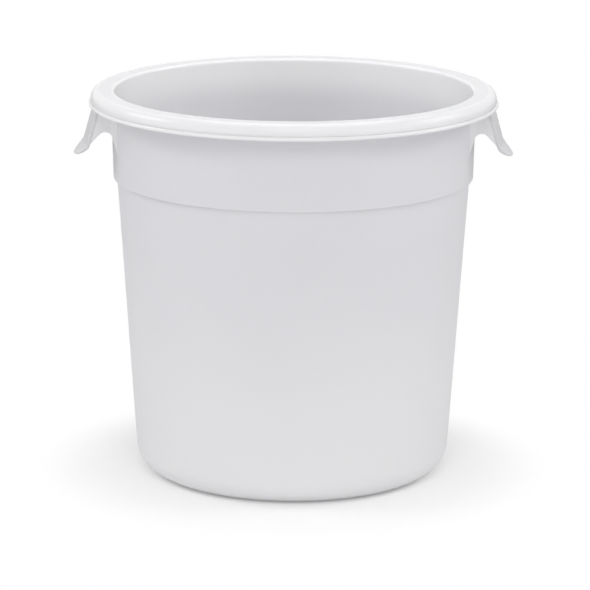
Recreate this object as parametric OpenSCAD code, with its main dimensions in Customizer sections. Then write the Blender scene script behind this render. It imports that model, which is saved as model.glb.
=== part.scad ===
// Round food tub with a tapered wall, a collar, a rolled rim and two lift handles.
// The origin is the centre of the base, on the surface that the tub stands on.
// +Z is up, and the handles lie on the X axis. All sizes are in millimetres.

/* [Tub] */
// Height from the standing surface to the top of the rim
tub_h = 317; // [280:1:360]
// Outer diameter of the tapered wall, carried down to the standing surface
base_d = 256; // [230:1:270]
// Outer diameter of the tapered wall at its top, under the collar
body_d = 288; // [272:1:292]
// Thickness of the wall, the corner, the floor and the collar
wall_t = 2.5; // [1.8:0.1:3.5]

/* [Base] */
// Outer radius of the rounded corner between floor and wall
corner_r = 21.5; // [12:0.5:30]
// Width of the flat ring that the tub stands on
foot_w = 9; // [5:0.5:20]
// How far the floor panel is raised above the standing surface
floor_rise = 1.5; // [0.5:0.1:1.7]

/* [Collar] */
// Height of the collar, from its foot to the underside of the rim's bead
collar_h = 59.5; // [45:0.5:80]
// How far the foot of the collar stands out from the tapered wall
collar_out = 3; // [2:0.1:4]
// How much the collar's radius grows between its foot and the bead
collar_draft = 1.3; // [0.5:0.1:2.5]
// Rounding of the collar's lower outer edge
collar_edge_r = 0.8; // [0.3:0.1:1.5]

/* [Rim] */
// Diameter over the bead, which is the widest of the rim
rim_d = 333; // [328:1:345]
// Height of the rim, from the underside of its bead to its top
rim_h = 12.6; // [11:0.1:16]
// Thickness of the rim's top and of its skirt
rim_t = 3; // [2:0.1:4]
// Outer radius of the shoulder between the rim's top and its skirt
shoulder_r = 6.5; // [4.5:0.1:7.5]
// Rounding of the rim's inner edge
inner_edge_r = 2.6; // [1:0.1:3]
// Radius of the bead's round section
bead_r = 1.7; // [1:0.1:2]
// How far the bead stands out from the skirt
bead_out = 1.5; // [0.8:0.1:1.8]

/* [Handles] */
// Width of each handle, along the rim
handle_w = 80; // [60:1:100]
// Height of the sloping tab, from the bead down to the lip
tab_h = 29.2; // [24:0.2:34]
// How far the tab flares outward over its height
tab_flare = 8.2; // [5:0.1:11]
// How far the top of the tab lies inside the skirt's outer face
tab_inset = 1.7; // [1:0.1:2.2]
// Thickness of the tab and the lip
tab_t = 2.6; // [2:0.1:3.2]
// Height of the flared lip below the tab
lip_h = 11.4; // [8:0.2:15]
// How far the lip flares outward over its height
lip_flare = 8.2; // [5:0.1:11]
// Roundness of the lip's outline: 2 is an ellipse, more is squarer
lip_squareness = 2.5; // [2:0.1:4]

/* [Handle webs] */
// Thickness of the end webs
web_t = 2.6; // [2:0.1:3.2]
// Depth of the arch's crown below the bead
arch_drop = 17.5; // [14:0.5:20]
// Radius of the arch in the webs' lower edge
arch_r = 6.3; // [4:0.1:7]
// Width of web that stays between the collar and the arch
arch_stub = 3; // [2:0.1:4]
// Length of the arch's leg, in which the web runs out into the collar
leg_h = 17; // [10:0.5:20]
// Slope of the webs' lower edge outside the arch, in degrees
web_slope = 46; // [40:1:52]
// Radius of the fairing between the webs and the collar
fair_r = 8; // [4:0.5:12]

/* [Hidden] */
$fn = 96;

body_colour = "gainsboro";
rim_colour = "white";
handle_colour = "lightgray";

// Heights
z_land = tub_h - rim_t;
z_bead = tub_h - rim_h;
z_collar = z_bead - collar_h;
z_crease = z_bead - tab_h;

// Tapered wall: its lean, and its horizontal thickness
wall_lean = atan((body_d - base_d) / 2 / z_collar);
wall_across = wall_t / cos(wall_lean);
body_r = body_d / 2;

// Rounded corner, tangent to the standing surface and to the tapered wall
corner_x = base_d / 2 - corner_r * (1 - sin(wall_lean)) / cos(wall_lean);
corner_in_r = corner_r - wall_t;

// Rim
face_r = rim_d / 2 - bead_out;
shoulder_x = face_r - shoulder_r;
skirt_in_r = face_r - rim_t;
inner_fillet = min(inner_edge_r, rim_t);

// Handles
tab_top_r = face_r - tab_inset;
crease_r = tab_top_r + tab_flare;
tab_across = tab_t / cos(atan(tab_flare / tab_h));
lip_across = tab_t / cos(atan(lip_flare / lip_h));
half_w = handle_w / 2;
outline_steps = 24;

// Arch in the webs
arch_z = z_bead - arch_drop - arch_r;
leg_z = arch_z - leg_h;
// How far the arch's leg runs inward, so that the web thins out into the collar
leg_in = 2 * arch_stub;
arch_x = sqrt(pow(collar_r(arch_z), 2) - half_w * half_w) + arch_stub + arch_r;

// How far a tool body reaches past what it shapes
past = 1;
// How far a tool body reaches where it has to clear the whole handle
reach = 60;
// How far the fairing starts inside the collar, as a share of the collar's radius
fair_root = 0.95;

// Outer radius of the collar at a height
function collar_r(z) = body_r + collar_out + collar_draft * (z - z_collar) / collar_h;

// A point of the lip's outline, seen along X: a superellipse under the tab
function lip_point(a) = [
    half_w * sign(cos(a)) * pow(abs(cos(a)), 2 / lip_squareness),
    z_crease - lip_h * pow(abs(sin(a)), 2 / lip_squareness)
];

module floor_panel() {
    color(body_colour)
        translate([0, 0, floor_rise])
            cylinder(r = corner_x - foot_w, h = wall_t);
}

module foot_ring() {
    color(body_colour)
        rotate_extrude()
            polygon([
                [corner_x - foot_w, 0],
                [corner_x, 0],
                [corner_x, wall_t],
                [corner_x - foot_w, floor_rise + wall_t]
            ]);
}

module base_corner() {
    color(body_colour)
        rotate_extrude()
            translate([corner_x, corner_r])
                difference() {
                    intersection() {
                        circle(r = corner_r);
                        polygon([
                            [0, 0],
                            [0, -2 * corner_r],
                            [2 * corner_r, -2 * corner_r],
                            2 * corner_r * [cos(wall_lean), -sin(wall_lean)]
                        ]);
                    }
                    circle(r = corner_in_r);
                }
}

module tapered_wall() {
    color(body_colour)
        rotate_extrude()
            polygon([
                [corner_x + corner_in_r * cos(wall_lean), corner_r - corner_in_r * sin(wall_lean)],
                [corner_x + corner_r * cos(wall_lean), corner_r * (1 - sin(wall_lean))],
                [body_r, z_collar],
                [body_r - wall_across, z_collar]
            ]);
}

module collar_step() {
    z_top = z_collar + wall_t;
    color(body_colour)
        rotate_extrude()
            difference() {
                polygon([
                    [body_r - wall_across, z_collar],
                    [collar_r(z_collar), z_collar],
                    [collar_r(z_top), z_top],
                    [body_r - wall_across, z_top]
                ]);
                translate([collar_r(z_collar), z_collar])
                    edge_cut(collar_edge_r, [-1, 1]);
            }
}

module collar_wall() {
    z_foot = z_collar + wall_t;
    color(body_colour)
        rotate_extrude()
            polygon([
                [collar_r(z_foot) - wall_t, z_foot],
                [collar_r(z_foot), z_foot],
                [collar_r(z_land), z_land],
                [collar_r(z_land) - wall_t, z_land]
            ]);
}

// What a round edge takes off a square corner at the origin; dir points into the solid
module edge_cut(r, dir) {
    flip_x = dir[0] < 0 ? 1 : 0;
    flip_y = dir[1] < 0 ? 1 : 0;
    mirror([flip_x, 0])
        mirror([0, flip_y])
            difference() {
                translate([-past, -past])
                    square(r + past);
                translate([r, r])
                    circle(r = r);
            }
}

module rim_top() {
    inner_r = collar_r(z_land) - wall_t;
    color(rim_colour)
        rotate_extrude()
            difference() {
                translate([inner_r, z_land])
                    square([shoulder_x - inner_r, rim_t]);
                translate([inner_r, tub_h])
                    edge_cut(inner_fillet, [1, -1]);
            }
}

module rim_skirt() {
    z_foot = z_bead + 2 * bead_r;
    z_shoulder = tub_h - shoulder_r;
    color(rim_colour)
        rotate_extrude() {
            translate([shoulder_x, z_shoulder])
                difference() {
                    intersection() {
                        circle(r = shoulder_r);
                        square(2 * shoulder_r);
                    }
                    circle(r = shoulder_r - rim_t);
                }
            translate([skirt_in_r, z_foot])
                square([rim_t, z_shoulder - z_foot]);
        }
}

module rim_bead() {
    color(rim_colour)
        rotate_extrude() {
            translate([face_r + bead_out - bead_r, z_bead + bead_r])
                circle(r = bead_r);
            translate([skirt_in_r, z_bead])
                square([rim_t + bead_out - bead_r, 2 * bead_r]);
        }
}

// Sloping face of the handle on the +X side
module tab() {
    intersection() {
        rotate_extrude()
            polygon([
                [tab_top_r - tab_across, z_bead],
                [tab_top_r, z_bead],
                [crease_r, z_crease],
                [crease_r - tab_across, z_crease]
            ]);
        translate([0, -half_w, z_crease - past])
            cube([rim_d, handle_w, tab_h + 2 * past]);
    }
}

// Flared end of the handle on the +X side
module lip() {
    intersection() {
        rotate_extrude()
            polygon([
                [crease_r - lip_across, z_crease],
                [crease_r, z_crease],
                [crease_r + lip_flare, z_crease - lip_h],
                [crease_r + lip_flare - lip_across, z_crease - lip_h]
            ]);
        rotate([90, 0, 90])
            linear_extrude(height = rim_d)
                polygon([for (i = [0 : outline_steps]) lip_point(180 * i / outline_steps)]);
    }
}

// The space between the collar and the handle, as a section: what a web may fill
module web_room() {
    polygon([
        [collar_r(leg_z), leg_z],
        [collar_r(z_land), z_land],
        [skirt_in_r, z_land],
        [skirt_in_r, z_bead],
        [tab_top_r - tab_across, z_bead],
        [crease_r - tab_across, z_crease],
        [crease_r - tab_across, leg_z]
    ]);
}

// The side view of a web, in X and Z, with its arched lower edge
module web_side() {
    difference() {
        translate([0, leg_z])
            square([rim_d, z_land - leg_z]);
        translate([arch_x, arch_z]) {
            circle(r = arch_r);
            polygon([
                [-arch_r, 0],
                [-arch_r - leg_in, -leg_h - past],
                [reach, -leg_h - past],
                reach * [cos(web_slope), -sin(web_slope)] + arch_r * [sin(web_slope), cos(web_slope)],
                arch_r * [sin(web_slope), cos(web_slope)],
                [0, 0]
            ]);
        }
    }
}

// The plan of a web, in X and Y, with the fairing that runs it into the collar
module web_plan() {
    foot_r = collar_r(leg_z);
    fair_y = half_w + fair_r;
    fair_x = sqrt(pow(foot_r + fair_r, 2) - fair_y * fair_y);
    touch = [fair_x, fair_y] * foot_r / (foot_r + fair_r);
    translate([touch[0] - reach / 2, half_w - web_t])
        square([reach, web_t]);
    difference() {
        polygon([
            [fair_x, half_w],
            [fair_x, fair_y],
            touch,
            fair_root * touch,
            [touch[0] - fair_r, half_w]
        ]);
        translate([fair_x, fair_y])
            circle(r = fair_r);
    }
}

// End wall of the handle on the +X side, at its +Y end
module web() {
    intersection() {
        rotate_extrude($fn = 4 * $fn)
            web_room();
        translate([0, half_w + reach / 2, 0])
            rotate([90, 0, 0])
                linear_extrude(height = reach)
                    web_side();
        translate([0, 0, leg_z - past])
            linear_extrude(height = z_land - leg_z + 2 * past)
                web_plan();
    }
}

module right_tab() {
    color(handle_colour)
        tab();
}

module right_lip() {
    color(handle_colour)
        lip();
}

module right_back_web() {
    color(handle_colour)
        web();
}

module right_front_web() {
    color(handle_colour)
        mirror([0, 1, 0])
            web();
}

module left_tab() {
    color(handle_colour)
        mirror([1, 0, 0])
            tab();
}

module left_lip() {
    color(handle_colour)
        mirror([1, 0, 0])
            lip();
}

module left_back_web() {
    color(handle_colour)
        mirror([1, 0, 0])
            web();
}

module left_front_web() {
    color(handle_colour)
        mirror([1, 0, 0])
            mirror([0, 1, 0])
                web();
}

floor_panel();
foot_ring();
base_corner();
tapered_wall();
collar_step();
collar_wall();
rim_top();
rim_skirt();
rim_bead();
left_tab();
left_lip();
left_front_web();
left_back_web();
right_tab();
right_lip();
right_front_web();
right_back_web();
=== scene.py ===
# Looks of the round food tub: smooth moulded surfaces, satin translucent plastic, soft studio light.
import math

import bmesh
import bpy
from mathutils import Matrix, Vector


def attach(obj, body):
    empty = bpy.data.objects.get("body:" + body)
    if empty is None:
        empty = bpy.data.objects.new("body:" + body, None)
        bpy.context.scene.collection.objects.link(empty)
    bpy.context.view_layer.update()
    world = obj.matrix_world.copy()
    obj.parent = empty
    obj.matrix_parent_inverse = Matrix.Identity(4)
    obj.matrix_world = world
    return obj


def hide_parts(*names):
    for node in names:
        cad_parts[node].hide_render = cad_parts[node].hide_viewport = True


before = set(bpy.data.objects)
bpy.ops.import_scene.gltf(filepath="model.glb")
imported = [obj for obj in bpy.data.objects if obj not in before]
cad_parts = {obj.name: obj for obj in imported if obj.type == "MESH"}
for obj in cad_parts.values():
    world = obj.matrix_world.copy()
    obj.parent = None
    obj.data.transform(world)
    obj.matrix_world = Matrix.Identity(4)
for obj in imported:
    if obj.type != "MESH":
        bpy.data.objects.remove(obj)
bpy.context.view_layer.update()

MM = 0.001
TURNS = 192

# Sizes of the moulding in millimetres, the same as the CAD's
TUB_H = 317.0
BASE_D = 256.0
BODY_D = 288.0
WALL_T = 2.5
CORNER_R = 21.5
FOOT_W = 9.0
FLOOR_RISE = 1.5
COLLAR_H = 59.5
COLLAR_OUT = 3.0
COLLAR_DRAFT = 1.3
RIM_D = 333.0
RIM_H = 12.6
RIM_T = 3.0
SHOULDER_R = 6.5
INNER_EDGE_R = 2.6
BEAD_R = 1.7
BEAD_OUT = 1.5
HANDLE_W = 80.0
TAB_H = 29.2
TAB_FLARE = 8.2
TAB_INSET = 1.7
TAB_T = 2.6
LIP_H = 11.4
LIP_FLARE = 8.2
WEB_T = 2.6
ARCH_DROP = 17.5
ARCH_R = 6.3
ARCH_STUB = 3.0
LEG_H = 17.0
WEB_SLOPE = math.radians(46)
FAIR_R = 8.0

# Forms that are finer here than in the CAD, in millimetres or as plain ratios
FOOT_SLOPE_IN, FOOT_SLOPE_OUT = 1.2, 0.6
FOOT_FILLETS = (1.2, 0.8)
FLOOR_SLOPE_IN, FLOOR_SLOPE_OUT = 1.5, 1.0
FLOOR_FILLETS = (1.5, 1.5)
STEP_DROP = 1.4
STEP_FILLETS = (2.2, 1.2)
COLLAR_FOOT_FILLET = 0.9
UNDER_RIM_FILLET = 1.6
SKIRT_LAP = 1.5
LIP_SQUARENESS = 1.75
CREASE_EASE = 5.0
LIP_THIN = 0.9
TIP_LENGTH = 0.8
WEB_RECESS = 0.15
WEB_FLARE = 0.062
WEB_EDGE_R = 1.0
WEB_EDGE_CUT = 0.3
WEB_LEAST_H = 2.2
SINK = 0.35

Z_LAND = TUB_H - RIM_T
Z_BEAD = TUB_H - RIM_H
Z_COLLAR = Z_BEAD - COLLAR_H
Z_CREASE = Z_BEAD - TAB_H
LEAN = math.atan((BODY_D - BASE_D) / 2 / Z_COLLAR)
BODY_R = BODY_D / 2
CORNER_X = BASE_D / 2 - CORNER_R * (1 - math.sin(LEAN)) / math.cos(LEAN)
FACE_R = RIM_D / 2 - BEAD_OUT
SHOULDER_X = FACE_R - SHOULDER_R
TAB_TOP_R = FACE_R - TAB_INSET
HALF_W = HANDLE_W / 2


def collar_r(z):
    return BODY_R + COLLAR_OUT + COLLAR_DRAFT * (z - Z_COLLAR) / COLLAR_H


def arc(cx, cz, r, a0, a1, steps):
    """Points of an arc in a section, from angle a0 to a1 in degrees."""
    out = []
    for i in range(steps + 1):
        a = math.radians(a0 + (a1 - a0) * i / steps)
        out.append((cx + r * math.cos(a), cz + r * math.sin(a)))
    return out


def rounded(points, radii, steps=6):
    """An open section line whose inner corners are rounded with the given radii."""
    out = [points[0]]
    for before, corner, after, r in zip(points, points[1:], points[2:], radii):
        here = Vector(corner)
        back = Vector(before) - here
        on = Vector(after) - here
        run = min(r / math.tan(back.angle(on) / 2), 0.49 * back.length, 0.49 * on.length)
        start = here + back.normalized() * run
        end = here + on.normalized() * run
        for k in range(steps + 1):
            t = k / steps
            out.append(tuple(start.lerp(here, t).lerp(here.lerp(end, t), t)))
    out.append(points[-1])
    return out


def between(a, b, part):
    """The point that lies the given part of the way from a to b."""
    return (a[0] + (b[0] - a[0]) * part, a[1] + (b[1] - a[1]) * part)


def densify(points, step=12):
    """The same open line with long straight runs split, so that shading stays even."""
    out = [points[0]]
    for a, b in zip(points, points[1:]):
        n = max(1, int(math.dist(a, b) / step))
        out += [between(a, b, k / n) for k in range(1, n + 1)]
    return out


def split_wall(line, step=9):
    """The same closed outline with its long wall runs split into even rings."""
    out = []
    for a, b in zip(line, line[1:] + line[:1]):
        out.append(a)
        n = int(math.dist(a, b) / step)
        if a[0] > 1 and b[0] > 1:
            out += [between(a, b, k / n) for k in range(1, n)]
    return out


def finish_mesh(name, bm, sharp):
    """Turns the mesh into a smooth piece, with edges sharper than the given degrees kept."""
    bmesh.ops.remove_doubles(bm, verts=bm.verts, dist=0.002 * MM)
    bmesh.ops.recalc_face_normals(bm, faces=bm.faces)
    mesh = bpy.data.meshes.new(name)
    bm.to_mesh(mesh)
    bm.free()
    mesh.shade_smooth()
    mesh.set_sharp_from_angle(angle=math.radians(sharp))
    piece = bpy.data.objects.new(name, mesh)
    bpy.context.scene.collection.objects.link(piece)
    return piece


def lathe(name, outline, sharp=32):
    """A closed section outline in (radius, height) turned round the Z axis."""
    bm = bmesh.new()
    rings = []
    for r, z in outline:
        if r < 1e-6:
            rings.append([bm.verts.new((0, 0, z * MM))])
            continue
        ring = []
        for k in range(TURNS):
            a = 2 * math.pi * k / TURNS
            ring.append(bm.verts.new((r * math.cos(a) * MM, r * math.sin(a) * MM, z * MM)))
        rings.append(ring)
    for a, b in zip(rings, rings[1:] + rings[:1]):
        if len(a) == 1 and len(b) == 1:
            continue
        for k in range(TURNS):
            n = (k + 1) % TURNS
            if len(a) == 1:
                bm.faces.new((a[0], b[n], b[k]))
            elif len(b) == 1:
                bm.faces.new((a[k], a[n], b[0]))
            else:
                bm.faces.new((a[k], a[n], b[n], b[k]))
    return finish_mesh(name, bm, sharp)


def loft(name, sections, sharp):
    """A closed skin over a row of closed sections with the same number of points."""
    bm = bmesh.new()
    rings = [[bm.verts.new(point) for point in section] for section in sections]
    count = len(rings[0])
    for a, b in zip(rings, rings[1:]):
        for k in range(count):
            n = (k + 1) % count
            bm.faces.new((a[k], a[n], b[n], b[k]))
    bm.faces.new(rings[0])
    bm.faces.new(rings[-1])
    return finish_mesh(name, bm, sharp)


# ---- materials ----

def add_node(tree, kind, values=()):
    """A new shader node with the given values on its inputs."""
    node = tree.nodes.new("ShaderNode" + kind)
    for socket, value in values:
        node.inputs[socket].default_value = value
    return node


def plastic(name, colour, rough, scatter, depth, mottle, grain,
            painted_light=None, painted_light_z=(), painted_light_r=(0.0, 0.001)):
    """Satin natural plastic: scattering inside the wall, faint clouding and a fine uneven skin.

    It turns to the colour pale over the heights painted_light_z and the radii painted_light_r, each
    from none to
    full, in metres. This is painted light: a lighter colour put where more light falls on the
    plastic. The radii given here let it do so everywhere.
    """
    mat = bpy.data.materials.new(name)
    mat.use_nodes = True
    tree = mat.node_tree
    link = tree.links.new
    shader = tree.nodes["Principled BSDF"]
    shader.inputs["Roughness"].default_value = rough
    shader.inputs["IOR"].default_value = 1.53
    shader.inputs["Subsurface Weight"].default_value = scatter
    shader.inputs["Subsurface Radius"].default_value = (1.0, 0.98, 1.04)
    shader.inputs["Subsurface Scale"].default_value = depth * MM
    place = add_node(tree, "TexCoord")
    clouds = add_node(tree, "TexNoise", [("Scale", 9.0), ("Detail", 3.0), ("Roughness", 0.55)])
    link(place.outputs["Object"], clouds.inputs["Vector"])
    ramp = add_node(tree, "ValToRGB")
    low = tuple(c * (1 - mottle * k) for c, k in zip(colour, (0.4, 0.9, 0.2)))
    high = tuple(min(1.0, c * (1 + mottle * k)) for c, k in zip(colour, (0.6, 0.3, 0.7)))
    for stop, position, tone in zip(ramp.color_ramp.elements, (0.3, 0.7), (low, high)):
        stop.position = position
        stop.color = (*tone, 1)
    link(clouds.outputs["Fac"], ramp.inputs["Fac"])
    skin = add_node(tree, "TexNoise", [("Scale", 420.0), ("Detail", 2.0)])
    link(place.outputs["Object"], skin.inputs["Vector"])
    bump = add_node(tree, "Bump", [("Strength", grain), ("Distance", 0.05 * MM)])
    link(skin.outputs["Fac"], bump.inputs["Height"])
    link(bump.outputs["Normal"], shader.inputs["Normal"])
    if painted_light is None:
        link(ramp.outputs["Color"], shader.inputs["Base Color"])
        return mat

    # Painted light: the mask below lightens the colour by height and radius.
    split = add_node(tree, "SeparateXYZ")
    link(place.outputs["Object"], split.inputs["Vector"])
    rise = add_node(tree, "MapRange", [("From Min", painted_light_z[0]), ("From Max", painted_light_z[1])])
    rise.interpolation_type = "SMOOTHSTEP"
    link(split.outputs["Z"], rise.inputs["Value"])
    level = add_node(tree, "VectorMath", [(1, (1, 1, 0))])
    level.operation = "MULTIPLY"
    link(place.outputs["Object"], level.inputs[0])
    radius = add_node(tree, "VectorMath")
    radius.operation = "LENGTH"
    link(level.outputs["Vector"], radius.inputs[0])
    inward = add_node(tree, "MapRange", [("From Min", painted_light_r[0]), ("From Max", painted_light_r[1])])
    link(radius.outputs["Value"], inward.inputs["Value"])
    painted_light_mask = add_node(tree, "Math")
    painted_light_mask.operation = "MULTIPLY"
    link(rise.outputs["Result"], painted_light_mask.inputs[0])
    link(inward.outputs["Result"], painted_light_mask.inputs[1])
    blend = add_node(tree, "Mix")
    blend.data_type = "RGBA"
    blend.inputs["B"].default_value = (*painted_light, 1)
    link(painted_light_mask.outputs["Value"], blend.inputs["Factor"])
    link(ramp.outputs["Color"], blend.inputs["A"])
    link(blend.outputs["Result"], shader.inputs["Base Color"])
    return mat


# The body's colour turns lighter toward the base: painted light, in place of the floor's bounce light
# on the lower wall.
body_plastic = plastic(
    "body_plastic", (0.765, 0.765, 0.775),
    rough=0.36, scatter=1.0, depth=1.8, mottle=0.02, grain=0.25,
    painted_light=(0.84, 0.84, 0.845), painted_light_z=(0.23, 0.01),
)
# The rim's colour is lighter than the body's, painted light, and turns near white on the inside of
# the mouth's top: painted light where light falls in over the rim.
rim_plastic = plastic(
    "rim_plastic", (0.80, 0.80, 0.81),
    rough=0.26, scatter=1.0, depth=1.8, mottle=0.012, grain=0.2,
    painted_light=(0.97, 0.97, 0.965), painted_light_z=(0.278, 0.316), painted_light_r=(0.1478, 0.1462),
)
# A lighter copy of the rim's plastic for the bead, shoulder and skirt: a painted highlight on the
# rim's rounded front.
painted_highlight_plastic = plastic(
    "painted_highlight_plastic", (0.87, 0.87, 0.875),
    rough=0.26, scatter=1.0, depth=1.8, mottle=0.012, grain=0.2,
)
# The end walls are lighter than the body, painted light on them beside the collar. They don't
# scatter, because that would darken the edge where they run into the collar.
painted_light_end_wall_plastic = plastic(
    "painted_light_end_wall_plastic", (0.85, 0.85, 0.855),
    rough=0.36, scatter=0.0, depth=1.2, mottle=0.012, grain=0.2,
)
# The grips are darker than the body: painted shade on the handle plates, which are the same plastic.
painted_shade_handle_plastic = plastic(
    "painted_shade_handle_plastic", (0.70, 0.705, 0.71),
    rough=0.34, scatter=0.8, depth=1.2, mottle=0.02, grain=0.25,
)


# ---- tub shell: floor, foot, rounded corner and tapered wall ----

def shell_outline():
    across = WALL_T / math.cos(LEAN)
    lean = -math.degrees(LEAN)
    foot_in = CORNER_X - FOOT_W
    floor_top = FLOOR_RISE + WALL_T
    under = rounded(
        [(0, FLOOR_RISE), (foot_in - FOOT_SLOPE_IN, FLOOR_RISE), (foot_in + FOOT_SLOPE_OUT, 0),
         (CORNER_X, 0)],
        FOOT_FILLETS,
    )
    outside = arc(CORNER_X, CORNER_R, CORNER_R, -90, lean, 22)
    inside = arc(CORNER_X, CORNER_R, CORNER_R - WALL_T, lean, -90, 22)
    over = rounded(
        [(CORNER_X, WALL_T), (foot_in + FLOOR_SLOPE_OUT, WALL_T + 0.1),
         (foot_in - FLOOR_SLOPE_IN, floor_top), (0, floor_top)],
        FLOOR_FILLETS,
    )
    wall_top = [(BODY_R, Z_COLLAR), (BODY_R - across, Z_COLLAR)]
    return densify(under)[:-1] + outside + wall_top + inside + densify(over)[1:]


tub_shell = lathe("tub_shell", split_wall(shell_outline()))
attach(tub_shell, "root")
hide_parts("floor_panel", "foot_ring", "base_corner", "tapered_wall")


# ---- collar and rim, one running section ----

def collar_and_rim_outline():
    across = WALL_T / math.cos(LEAN)
    z_top = Z_COLLAR + WALL_T
    z_skirt = Z_BEAD + 2 * BEAD_R - SKIRT_LAP
    z_shoulder = TUB_H - SHOULDER_R
    inner_r = collar_r(Z_LAND) - WALL_T
    # The next two lines meet on the collar's straight run.
    outside = rounded(
        [(BODY_R - across, Z_COLLAR), (collar_r(Z_COLLAR), Z_COLLAR),
         (collar_r(z_top + 8), z_top + 8)],
        [COLLAR_FOOT_FILLET],
    )
    under_rim = rounded(
        [(collar_r(z_top + 9), z_top + 9), (collar_r(Z_LAND), Z_LAND), (SHOULDER_X, Z_LAND)],
        [UNDER_RIM_FILLET],
    )
    skirt_in = arc(SHOULDER_X, z_shoulder, SHOULDER_R - RIM_T, 90, 0, 8)
    skirt_out = [(FACE_R - RIM_T, z_skirt), (FACE_R, z_skirt)]
    shoulder = arc(SHOULDER_X, z_shoulder, SHOULDER_R, 0, 90, 14)
    edge = arc(inner_r + INNER_EDGE_R, TUB_H - INNER_EDGE_R, INNER_EDGE_R, 90, 180, 10)
    inside = rounded(
        [(inner_r, Z_LAND - 1), (collar_r(z_top) - WALL_T, z_top),
         (BODY_R - across, z_top - STEP_DROP), (BODY_R - across, Z_COLLAR)],
        STEP_FILLETS,
    )
    return outside + under_rim + skirt_in + skirt_out + shoulder + edge + inside[:-1]


collar_and_rim = lathe("collar_and_rim", split_wall(collar_and_rim_outline()))
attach(collar_and_rim, "root")
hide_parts("collar_step", "collar_wall", "rim_top", "rim_skirt")


# ---- bead along the skirt's lower edge ----

def bead_outline():
    cx = FACE_R + BEAD_OUT - BEAD_R
    cz = Z_BEAD + BEAD_R
    inner = FACE_R - RIM_T
    return [(inner, Z_BEAD)] + arc(cx, cz, BEAD_R, -90, 88, 14) + [(inner, cz + BEAD_R)]


rim_bead = lathe("rim_bead_ring", bead_outline(), 50)
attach(rim_bead, "root")
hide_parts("rim_bead")


# ---- handle grips: sloping tab and flared lip in one bent plate ----

def plate_line(z_low, rows=44):
    """The plate's outer line down to z_low, as (radius, height), with an eased crease."""
    steep = TAB_FLARE / TAB_H
    flat = LIP_FLARE / LIP_H
    half = CREASE_EASE / 2
    line = []
    for i in range(rows + 1):
        z = Z_BEAD + (z_low - Z_BEAD) * i / rows
        past = Z_CREASE - z
        blend = min(max((past + half) / CREASE_EASE, 0.0), 1.0)
        bent = 0.0
        if past > -half:
            bent = (flat - steep) * (CREASE_EASE * blend * blend / 2 if past < half else past)
        line.append((TAB_TOP_R + (Z_BEAD - z) * steep + bent, z))
    return line


def plate_loop(z_low):
    """The closed loop of the plate's section: down the outside, round the tip, up the inside."""
    line = plate_line(z_low)
    outer, inner = [], []
    for i, p in enumerate(line):
        a = Vector(line[max(i - 1, 0)])
        b = Vector(line[min(i + 1, len(line) - 1)])
        along = (b - a).normalized()
        normal = Vector((along[1], -along[0]))
        if normal[0] > 0:
            normal = -normal
        thin = min(max((Z_CREASE - p[1]) / LIP_H, 0.0), 1.0)
        outer.append(Vector(p))
        inner.append(Vector(p) + normal * (TAB_T - LIP_THIN * thin))
    middle = (outer[-1] + inner[-1]) / 2
    side = outer[-1] - middle
    down = Vector((-side[1], side[0]))
    if down[1] > 0:
        down = -down
    reach = down * TIP_LENGTH
    tip = []
    for k in range(1, 8):
        a = math.pi * k / 8
        tip.append(middle + side * math.cos(a) + down * math.sin(a) * TIP_LENGTH - reach)
    outer[-1] = outer[-1] - reach * 0.98
    inner[-1] = inner[-1] - reach * 0.98
    return outer + tip + inner[::-1]


def grip(name, side, columns=64):
    """The bent plate. side is -1 for the left handle and 1 for the right one."""
    sections = []
    for j in range(columns + 1):
        t = -math.cos(math.pi * j / columns)
        y = HALF_W * t
        z_low = Z_CREASE - LIP_H * (1 - abs(t) ** LIP_SQUARENESS) ** (1 / LIP_SQUARENESS)
        sections.append([
            (side * math.sqrt(r * r - y * y) * MM, y * MM, z * MM) for r, z in plate_loop(z_low)
        ])
    return loft(name, sections, 40)


# ---- handle webs: arched end walls that run out into the collar ----

ARCH_Z = Z_BEAD - ARCH_DROP - ARCH_R
LEG_Z = ARCH_Z - LEG_H
ARCH_X = math.sqrt(collar_r(ARCH_Z) ** 2 - HALF_W ** 2) + ARCH_STUB + ARCH_R
FAIR_X = math.sqrt((collar_r(ARCH_Z) + FAIR_R) ** 2 - (HALF_W + FAIR_R) ** 2)
ROOT_X = math.sqrt((collar_r(Z_LAND) - WALL_T + 0.1) ** 2 - (HALF_W - WEB_T) ** 2)


def web_low(x):
    """Height of the lower edge: the leg, the arch's round crown, then the straight slope outward."""
    d = x - ARCH_X
    if d <= -ARCH_R:
        return max(ARCH_Z + (d + ARCH_R) * (LEG_H + 1) / (2 * ARCH_STUB), LEG_Z)
    turn = ARCH_R * math.sin(WEB_SLOPE)
    if d <= turn:
        return ARCH_Z + math.sqrt(max(ARCH_R ** 2 - d * d, 0.0))
    return ARCH_Z + ARCH_R * math.cos(WEB_SLOPE) - (d - turn) * math.tan(WEB_SLOPE)


def web_high(x):
    """Height of the upper edge: under the rim, or inside the tab's inner face."""
    skirt_x = math.sqrt((FACE_R - RIM_T + SINK) ** 2 - HALF_W ** 2)
    ceiling = Z_LAND + SINK if x < skirt_x else Z_BEAD + SINK
    tab_r = math.hypot(x, HALF_W - WEB_T / 2) + TAB_T - SINK
    return min(ceiling, Z_BEAD - (tab_r - TAB_TOP_R) * TAB_H / TAB_FLARE)


def web_outer(x):
    """Half width of the outer face: straight, then flared toward the collar."""
    face = HALF_W - WEB_RECESS
    if x >= FAIR_X:
        return face
    return face + WEB_FLARE * (FAIR_X - x) ** 2


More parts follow.
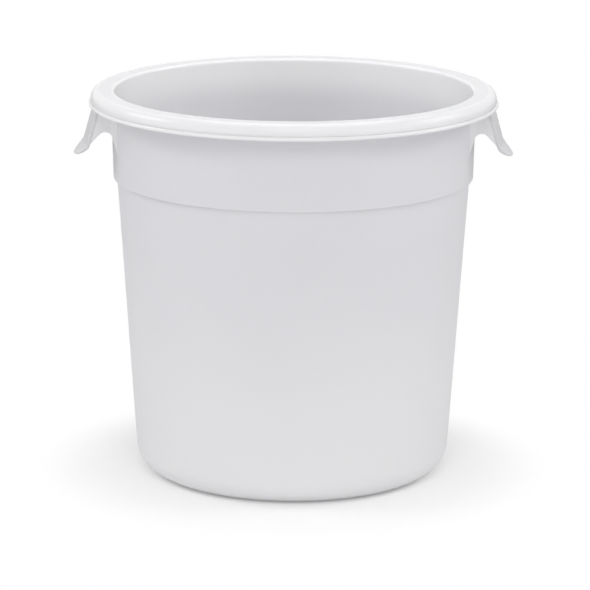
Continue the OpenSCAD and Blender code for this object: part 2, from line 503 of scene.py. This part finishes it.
def web(name, side, front):
    """One end wall. side is as in grip, and front is -1 for the wall nearer the front."""
    fine, coarse = 0.18, 0.6
    stations = []
    x = ROOT_X
    while web_high(x) - web_low(x) > WEB_LEAST_H:
        stations.append(x)
        curved = abs(x - (ARCH_X - ARCH_R)) < 1.2 or x < FAIR_X
        x += fine if curved else coarse
    sections = []
    for x in stations:
        low, high = web_low(x), web_high(x)
        out_y, in_y = web_outer(x), HALF_W - WEB_T
        side_z, cut_z = low + WEB_EDGE_R, low + WEB_EDGE_CUT
        section = [
            (out_y, high), (out_y, side_z), (out_y - WEB_EDGE_CUT, cut_z), (out_y - WEB_EDGE_R, low),
            (in_y + WEB_EDGE_R, low), (in_y + WEB_EDGE_CUT, cut_z), (in_y, side_z), (in_y, high),
        ]
        sections.append([(side * x * MM, front * y * MM, z * MM) for y, z in section])
    return loft(name, sections, 35)


for name, side in (("left", -1), ("right", 1)):
    piece = grip(name + "_grip", side)
    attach(piece, "root")
    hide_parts(name + "_tab", name + "_lip")
    piece.data.materials.append(painted_shade_handle_plastic)
    for end, front in (("front", -1), ("back", 1)):
        wall = web(name + "_" + end + "_end_wall", side, front)
        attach(wall, "root")
        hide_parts(name + "_" + end + "_web")
        wall.data.materials.append(painted_light_end_wall_plastic)

for piece, plastic_with_painted_light in (
    (tub_shell, body_plastic), (collar_and_rim, rim_plastic), (rim_bead, painted_highlight_plastic),
):
    piece.data.materials.append(plastic_with_painted_light)

# The collar's outside has the wall's plastic, and the rim's shoulder and skirt have the bead's
# lighter plastic, a painted highlight.
collar_and_rim.data.materials.append(body_plastic)
collar_and_rim.data.materials.append(painted_highlight_plastic)
WALL_FINISH, PAINTED_HIGHLIGHT_SLOT = 1, 2
for face in collar_and_rim.data.polygons:
    height = face.center.z / MM
    radius = math.hypot(face.center.x, face.center.y) / MM
    if height < Z_LAND and abs(radius - collar_r(height)) < WALL_T / 2:
        face.material_index = WALL_FINISH
    elif radius > SHOULDER_X:
        face.material_index = PAINTED_HIGHLIGHT_SLOT

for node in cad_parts.values():
    node.data.materials.clear()
    node.data.materials.append(body_plastic)


# ---- floor ----

FLOOR_Z = -0.0003
FLOOR_SPAN = 9.0
PAPER = 0.93
FLOOR_LIFT = 0.17
SHADOW_END = (0.135, 0.22)

paper = bpy.data.materials.new("studio_paper")
paper.use_nodes = True
tree = paper.node_tree
link = tree.links.new
shader = tree.nodes["Principled BSDF"]
shader.inputs["Base Color"].default_value = (PAPER, PAPER, PAPER, 1)
shader.inputs["Roughness"].default_value = 1.0
shader.inputs["Specular IOR Level"].default_value = 0.0
lit = shader.outputs["BSDF"]

# Seen by the camera alone, the paper is a little lighter, and turns white away from the tub.
glow = add_node(tree, "Emission", [("Strength", FLOOR_LIFT)])
lifted = add_node(tree, "AddShader")
link(lit, lifted.inputs[0])
link(glow.outputs["Emission"], lifted.inputs[1])
place = add_node(tree, "TexCoord")
far = add_node(tree, "VectorMath")
far.operation = "LENGTH"
link(place.outputs["Object"], far.inputs[0])
fade = add_node(tree, "MapRange", [("From Min", SHADOW_END[0]), ("From Max", SHADOW_END[1])])
fade.interpolation_type = "SMOOTHSTEP"
link(far.outputs["Value"], fade.inputs["Value"])
white = add_node(tree, "Emission", [("Strength", 1.0)])
page = add_node(tree, "MixShader")
link(fade.outputs["Result"], page.inputs["Fac"])
link(lifted.outputs["Shader"], page.inputs[1])
link(white.outputs["Emission"], page.inputs[2])
seen_by = add_node(tree, "LightPath")
pick = add_node(tree, "MixShader")
link(seen_by.outputs["Is Camera Ray"], pick.inputs["Fac"])
link(lit, pick.inputs[1])
link(page.outputs["Shader"], pick.inputs[2])
link(pick.outputs["Shader"], tree.nodes["Material Output"].inputs["Surface"])

floor_mesh = bpy.data.meshes.new("studio_floor")
corners = [(FLOOR_SPAN * x, FLOOR_SPAN * y, FLOOR_Z) for x, y in ((-1, -1), (1, -1), (1, 1), (-1, 1))]
floor_mesh.from_pydata(corners, [], [(0, 1, 2, 3)])
floor_mesh.materials.append(paper)
studio_floor = bpy.data.objects.new("studio_floor", floor_mesh)
bpy.context.scene.collection.objects.link(studio_floor)


# ---- light ----

world = bpy.data.worlds.new("studio")
bpy.context.scene.world = world
world.use_nodes = True
tree = world.node_tree
tree.nodes.clear()
link = tree.links.new
light = add_node(tree, "Background", [("Color", (0.985, 0.985, 1.0, 1)), ("Strength", 0.48)])
seen = add_node(tree, "Background", [("Color", (1, 1, 1, 1)), ("Strength", 1.0)])
path = add_node(tree, "LightPath")
shown = add_node(tree, "Math")
shown.operation = "MAXIMUM"
link(path.outputs["Is Camera Ray"], shown.inputs[0])
link(path.outputs["Is Glossy Ray"], shown.inputs[1])
mix = add_node(tree, "MixShader")
link(shown.outputs["Value"], mix.inputs["Fac"])
link(light.outputs["Background"], mix.inputs[1])
link(seen.outputs["Background"], mix.inputs[2])
out = add_node(tree, "OutputWorld")
link(mix.outputs["Shader"], out.inputs["Surface"])


def softbox(name, place, aim, width, height, power):
    """A soft rectangular lamp, aimed at a point. Lengths are in metres and power in watts."""
    data = bpy.data.lights.new(name, "AREA")
    data.shape = "RECTANGLE"
    data.size = width
    data.size_y = height
    data.energy = power
    lamp = bpy.data.objects.new(name, data)
    bpy.context.scene.collection.objects.link(lamp)
    lamp.location = place
    lamp.rotation_euler = (Vector(aim) - Vector(place)).to_track_quat("-Z", "Y").to_euler()


LOW_RING_R = 2.5
LOW_RING_Z = 0.22

softbox("top_light", (0.0, 0.2, 2.4), (0, 0, 0.2), 2.2, 2.2, 1.5)
for side in (-1, 1):
    softbox("mouth_side_light", (1.5 * side, 0.1, 1.15), (-0.14 * side, 0, 0.27), 0.8, 0.5, 4.9)
softbox("front_top_light", (0.0, -2.0, 1.85), (0, 0, 0.25), 1.3, 0.9, 11)
softbox("mouth_light", (0.0, 0.0, 0.56), (0, 0.001, 0.0), 0.3, 0.3, 0.29)
for degrees, power in ((-78, 2.0), (-42, 3.6), (0, 3.6), (42, 3.6), (78, 2.0)):
    turn = math.radians(degrees)
    place = (LOW_RING_R * math.sin(turn), -LOW_RING_R * math.cos(turn), LOW_RING_Z)
    softbox("low_light", place, (0, 0, 0.12), 1.6, 0.42, power)


# ---- camera, at the photograph's angle ----

CAMERA_AT = (2.231, -2588.226, 773.772)
DOWN = math.radians(13.686)
YAW = math.radians(0.009)
ROLL = math.radians(0.27063)

camera_data = bpy.data.cameras.new("camera")
camera_data.sensor_width = 36
camera_data.lens = 196.69
camera_data.clip_start = 0.1
camera_data.clip_end = 60
camera = bpy.data.objects.new("camera", camera_data)
bpy.context.scene.collection.objects.link(camera)
forward = Vector((
    -math.sin(YAW) * math.cos(DOWN), math.cos(YAW) * math.cos(DOWN), -math.sin(DOWN),
))
level = Vector((math.cos(YAW), math.sin(YAW), 0))
up = level.cross(forward)
right = level * math.cos(ROLL) + up * math.sin(ROLL)
top = up * math.cos(ROLL) - level * math.sin(ROLL)
facing = Matrix((right, top, -forward)).transposed().to_4x4()
camera.matrix_world = Matrix.Translation(Vector(CAMERA_AT) * MM) @ facing
bpy.context.scene.camera = camera
bpy.context.scene.view_settings.view_transform = "Standard"
